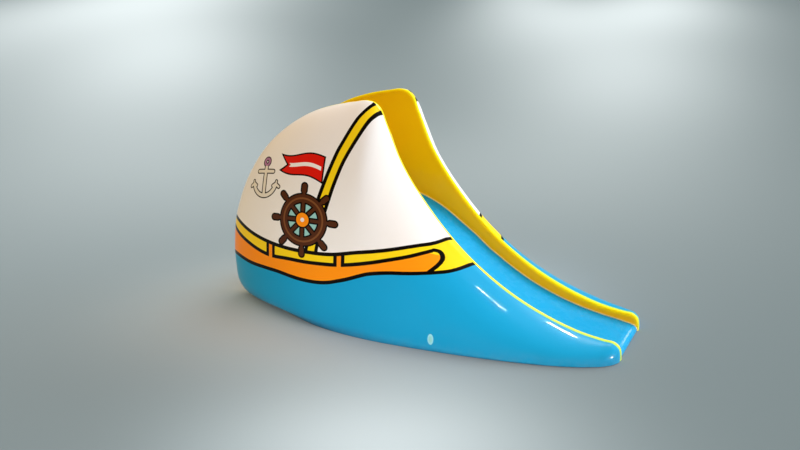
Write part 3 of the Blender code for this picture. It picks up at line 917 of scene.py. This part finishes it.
def deck_points(front, edge, top, ribs, cove):
    """Closed section of a tread or deck from wall to wall, curled up at both and ribbed for grip."""
    nose = DECK / 2
    section = [(front - SHEET, top - DECK), (edge - nose, top - DECK)]
    for turn in np.radians(np.linspace(-72, 90, 10)):
        section.append((edge - nose + nose * math.cos(turn), top - nose + nose * math.sin(turn)))
    rib_at = [edge - GRIP_START - GRIP_SPACING * number for number in range(ribs)]
    ribbed = [False] * len(section)
    for middle in rib_at:
        for away, rise in GRIP_RIB:
            section.append((middle + away, top + GRIP_RISE * rise))
            ribbed.append(True)
    if cove:
        section += [(front + away, top + rise) for away, rise in COVE]
    section += [(front - SHEET, top), (front - SHEET, top - DECK)]
    ribbed += [False] * (len(section) - len(ribbed))
    half = CHANNEL_HALF - JOINT_GAP
    ends = half - np.array(END_PLACES)
    across = np.concatenate([-ends, ends[::-1]])
    from_wall = half - np.abs(across)
    curl = END_CURL * np.clip(1 - from_wall / END_CURL_REACH, 0, 1) ** 2.2
    grip = np.clip((from_wall - GRIP_END) / GRIP_RUNOUT, 0, 1)
    points = np.empty((len(section), len(across), 3))
    for row, ((back, height), raised) in enumerate(zip(section, ribbed)):
        level = np.where(raised, top + (height - top) * grip, height)
        points[row, :, 0] = NOSE_X - back
        points[row, :, 1] = across
        points[row, :, 2] = level + curl
    return points


def make_deck(name, node, material, front, edge, top, ribs, cove):
    bm = capped_bar(deck_points(front, edge, top, ribs, cove))
    piece = finish_piece(bm, name, material, 35.0)
    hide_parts(node)


def make_stair(material):
    for number in range(1, RISERS):
        front = FIRST_RISER_BACK - TREAD_GOING * number
        make_deck(f"grip_tread_{number}", f"step_tread_{number}", material, front, front + TREAD_GOING,
                  RISE * number, 6, True)
    make_deck("grip_platform", "platform_deck", material, CREST_BACK + JOINT_GAP + SHEET,
              FIRST_RISER_BACK - TREAD_GOING * (RISERS - 1), PLATFORM_HEIGHT, 8, False)


def make_seams(label, side, material):
    """Bead of sealant between the bed and a side wall."""
    edge = bed_points()[:, -1 if side > 0 else 0, :]
    line = np.stack([NOSE_X - edge[:, 0], edge[:, 2]], axis=1)
    section = [(CHANNEL_HALF - BEAD_RADIUS * math.sin(turn), BEAD_FLATNESS * BEAD_RADIUS * math.cos(turn))
               for turn in np.radians(range(0, 181, 20))]
    bm = shaped_grid(swept_points(line[::-1], section, side))
    finish_piece(bm, f"{label}_chute_seam", material, 80.0)


def dress_node(name, material):
    """Gives a carried-over CAD node its finished material."""
    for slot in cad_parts[name].material_slots:
        slot.material = material


def turned_along(facing, run):
    """Turn of a lamp that looks back along facing, with its length along run."""
    facing = facing.normalized()
    across = (run - facing * run.dot(facing)).normalized()
    return Matrix((across, facing.cross(across), facing)).transposed().to_euler()


def add_area_light(name, place, aim, size, power):
    data = bpy.data.lights.new(name, "AREA")
    data.shape = "RECTANGLE"
    data.size, data.size_y = size
    data.energy = power
    lamp = bpy.data.objects.new(name, data)
    lamp.location = place
    lamp.rotation_euler = (Vector(aim) - Vector(place)).to_track_quat("-Z", "Y").to_euler()
    lamp.visible_camera = False
    bpy.context.scene.collection.objects.link(lamp)
    return lamp


def make_floor():
    bm = bmesh.new()
    bmesh.ops.create_grid(bm, x_segments=8, y_segments=8, size=FLOOR_HALF)
    mesh = bpy.data.meshes.new("studio_floor")
    bm.to_mesh(mesh)
    bm.free()
    floor = bpy.data.objects.new("studio_floor", mesh)
    mesh.materials.append(floor_material())
    bpy.context.scene.collection.objects.link(floor)


# Soft studio light as broad glows round the part: turn about Z from +X and height in degrees, colour
GLOW_NARROWNESS = 6.0
GLOWS = (
    (45.0, 3.0, (2.04, 2.18, 2.15)),
    (90.0, 3.0, (0.15, 0.37, 0.30)),
    (180.0, 3.0, (2.20, 1.75, 1.05)),
    (225.0, 3.0, (0.55, 0.26, 0.00)),
    (270.0, 3.0, (0.30, 0.06, 0.00)),
    (315.0, 3.0, (1.12, 1.12, 1.05)),
    (0.0, 3.0, (1.00, 0.85, 0.50)),
    (0.0, 35.0, (0.50, 0.28, 0.40)),
    (60.0, 35.0, (4.89, 5.17, 5.12)),
    (180.0, 35.0, (0.50, 0.28, 0.05)),
    (240.0, 35.0, (0.20, 0.15, 0.00)),
    (300.0, 35.0, (0.15, 0.18, 0.12)),
    (0.0, 90.0, (1.01, 0.80, 0.73)))
CARD_PLACE = (0.9, -2.75, 0.30)
CARD_AIM = (0.35, -0.65, 0.30)
CARD_SIZE = (2.6, 0.5)
CARD_POWER = 6.0
CARD_SPREAD = 70.0           # degrees
GLOSS_SHARE = 0.03           # of the soft light is mirrored in the gloss
# Small lamps that only show mirrored: spot lit, direction of either end of the lamp, width, power
SPARK_DISTANCE = 5.0
SPARKS = (
    ((0.595, -0.406, 0.339), (0.470, 0.210, 0.857), (0.365, 0.262, 0.893), 0.07, 36.0),
    ((1.042, -0.316, 0.170), (0.142, 0.652, 0.747), (0.056, 0.668, 0.734), 0.10, 80.0),
    ((1.315, -0.317, 0.112), (-0.060, 0.680, 0.731), (-0.125, 0.617, 0.777), 0.06, 70.0),
    ((1.390, -0.360, 0.055), (0.995, -0.060, 0.060), (0.978, -0.200, 0.080), 0.45, 600.0),
    ((1.400, 0.000, 0.040), (0.060, 0.900, 0.432), (0.280, 0.900, 0.340), 0.25, 14.0))


def make_studio():
    scene = bpy.context.scene
    scene.view_settings.view_transform = "Standard"
    world = bpy.data.worlds.new("soft studio")
    world.use_nodes = True
    tree = world.node_tree
    towards = tree.nodes.new("ShaderNodeTexCoord").outputs["Generated"]
    light = (0.0, 0.0, 0.0)
    for turn, height, colour in GLOWS:
        turn, height = math.radians(turn), math.radians(height)
        aim = (math.cos(height) * math.cos(turn), math.cos(height) * math.sin(turn), math.sin(height))
        facing = tree.nodes.new("ShaderNodeVectorMath")
        facing.operation = "DOT_PRODUCT"
        tree.links.new(towards, facing.inputs[0])
        facing.inputs[1].default_value = aim
        share = calc(tree, "POWER", calc(tree, "MAXIMUM", facing.outputs["Value"], 0.0), GLOW_NARROWNESS)
        glow = tree.nodes.new("ShaderNodeVectorMath")
        glow.operation = "MULTIPLY_ADD"
        tree.links.new(share, glow.inputs[0])
        glow.inputs[1].default_value = colour
        give(tree, glow.inputs[2], light)
        light = glow.outputs[0]
    sky = tree.nodes["Background"].inputs
    tree.links.new(light, sky["Color"])
    mirrored = tree.nodes.new("ShaderNodeLightPath").outputs["Is Glossy Ray"]
    tree.links.new(ramp_between(tree, mirrored, 0.0, 1.0, 1.0, GLOSS_SHARE), sky["Strength"])
    scene.world = world
    card = add_area_light("low bounce card", CARD_PLACE, CARD_AIM, CARD_SIZE, CARD_POWER)
    card.visible_glossy = False
    card.data.spread = math.radians(CARD_SPREAD)
    for number, (spot, start, end, width, power) in enumerate(SPARKS, 1):
        place = Vector(spot) + SPARK_DISTANCE * (Vector(start) + Vector(end)).normalized()
        run = Vector(end) - Vector(start)
        size = (SPARK_DISTANCE * run.length, width)
        lamp = add_area_light(f"mirrored lamp {number}", place, spot, size, power)
        lamp.rotation_euler = turned_along(place - Vector(spot), run)
        lamp.visible_diffuse = False


CAMERA_PLACE = (2.538, -5.876, 2.633)
CAMERA_TILT = 72.597         # degrees
CAMERA_TURN = 25.246
CAMERA_LENS = 43.47          # millimetres
FILM_WIDTH = 36.0


def make_camera():
    data = bpy.data.cameras.new("camera")
    data.lens = CAMERA_LENS
    data.sensor_width = FILM_WIDTH
    camera = bpy.data.objects.new("camera", data)
    camera.location = CAMERA_PLACE
    camera.rotation_euler = (math.radians(CAMERA_TILT), 0.0, math.radians(CAMERA_TURN))
    bpy.context.scene.collection.objects.link(camera)
    bpy.context.scene.camera = camera


def build_scene():
    make_camera()
    make_studio()
    make_floor()
    surface = gelcoat_group()
    livery = livery_group()
    painted = gelcoat("painted gelcoat", surface, livery)
    wall_gold_and_painted_light = gold_wall_painted_light_group()
    rim = gelcoat("yellow rim gelcoat", surface, rim_colour_group(livery, wall_gold_and_painted_light), dust=0.08)
    # Gold of the walls and risers, painted lighter and redder low down as painted light
    gold = gelcoat("golden wall gelcoat with painted light low down", surface, wall_gold_and_painted_light, gloss=0.35, dust=0.1)
    blue = gelcoat("blue bed gelcoat", surface, BED_BLUE, gloss=0.26, waves=0.3, dust=0.08, coat=0.12)
    laminate = laminate_material()
    sealant = sealant_material()
    for label, side in (("left", 1), ("right", -1)):
        make_side_shell(label, side, painted, laminate)
        make_rim(label, side, rim)
        make_seams(label, side, sealant)
        dress_node(f"{label}_inner_wall", gold)
        dress_node(f"{label}_base_flange", laminate)
        for place in ("front", "middle", "rear"):
            dress_node(f"{label}_rib_{place}", laminate)
    make_bed(blue)
    make_stair(gelcoat("blue tread gelcoat", surface, BED_BLUE, gloss=0.42, dust=0.3, coat=0.1))
    for number in range(1, STIFFENERS + 1):
        dress_node(f"bed_stiffener_{number}", laminate)
    for number in range(1, RISERS + 1):
        dress_node(f"step_riser_{number}", gold)
    for place in ("front", "rear"):
        dress_node(f"platform_bearer_{place}", laminate)


build_scene()
